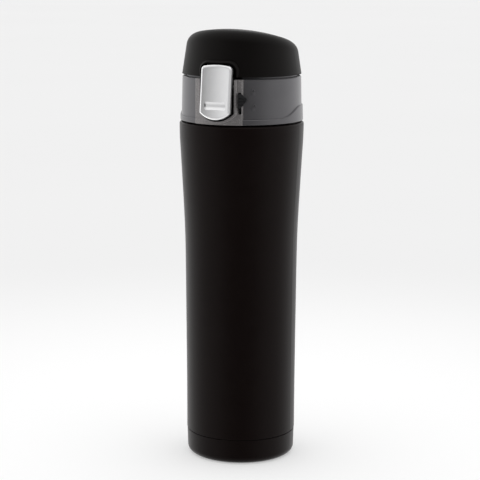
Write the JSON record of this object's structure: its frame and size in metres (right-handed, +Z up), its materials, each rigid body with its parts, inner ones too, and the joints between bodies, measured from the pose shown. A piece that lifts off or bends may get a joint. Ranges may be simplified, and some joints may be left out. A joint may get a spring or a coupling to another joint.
{
  "type": "vacuum flask",
  "caption": "Slim vacuum flask with a waisted steel body, screw-on drinking lid, flip cap, front release button and lock slider.",
  "frame": {"origin": "centre of the base, on the surface the flask stands on", "axes": "+Z up along the flask's axis, -Y towards the release button, +Y towards the cap's hinge"},
  "size_m": [0.071, 0.075, 0.2481],
  "materials": {
    "body_paint": "satin",
    "vessel_steel": "brushed",
    "copper_foil": "foil",
    "solder": "dull",
    "silicone": "matte",
    "inner_plastic": "fine matte",
    "collar_plastic": "satin",
    "cap_plastic": "soft matte",
    "pin_steel": "bright",
    "button_silver": "satin silver",
    "lever_plastic": "matte",
    "lock_plastic": "matte"
  },
  "bodies": {
    "flask_body": {"outer_shell": "body_paint", "base_cup": "body_paint", "vacuum_base": "vessel_steel", "vacuum_seal": "solder", "inner_vessel": "vessel_steel", "heat_foil": "copper_foil", "getter": "solder"},
    "seal": {"mouth_gasket": "silicone"},
    "lid": {"thread_ring": "inner_plastic", "spout": "inner_plastic", "collar": "collar_plastic", "hinge_pin": "pin_steel", "hinge_spring": "pin_steel", "button_pin": "pin_steel", "button_spring": "pin_steel"},
    "button": {"button_plate": "button_silver", "button_lever": "lever_plastic"},
    "lock": {"lock_knob": "lock_plastic", "lock_bar": "lock_plastic"},
    "cap": {"cap_shell": "cap_plastic", "cap_liner": "inner_plastic", "cap_gasket": "silicone", "liner_screws": "pin_steel"}
  },
  "joints": [
    {"name": "lid_lift", "type": "slide", "parent": "flask_body", "child": "seal", "axis": [0, 0, 1], "range_m": [0, 0.005]},
    {"name": "lid_turn", "type": "hinge", "parent": "seal", "child": "lid", "pos_m": [0, 0, 0.2], "axis": [0, 0, 1], "range_deg": [0, 450]},
    {"name": "cap_hinge", "type": "hinge", "parent": "lid", "child": "cap", "pos_m": [0, 0.0334, 0.2218], "axis": [-1, 0, 0], "range_deg": [0, 125], "deforming": ["hinge_spring"]},
    {"name": "button_press", "type": "hinge", "parent": "lid", "child": "button", "pos_m": [0, -0.0308, 0.217], "axis": [1, 0, 0], "range_deg": [0, 6], "stiffness_Nm_per_rad": 0.05, "deforming": ["button_spring"]},
    {"name": "lock_slide", "type": "slide", "parent": "lid", "child": "lock", "axis": [0, 0, 1], "range_m": [-0.003, 0]}
  ],
  "couplings": [
    {"joint": "lid_lift", "follows": "lid_turn", "m_per_rad": 0.00063662}
  ]
}
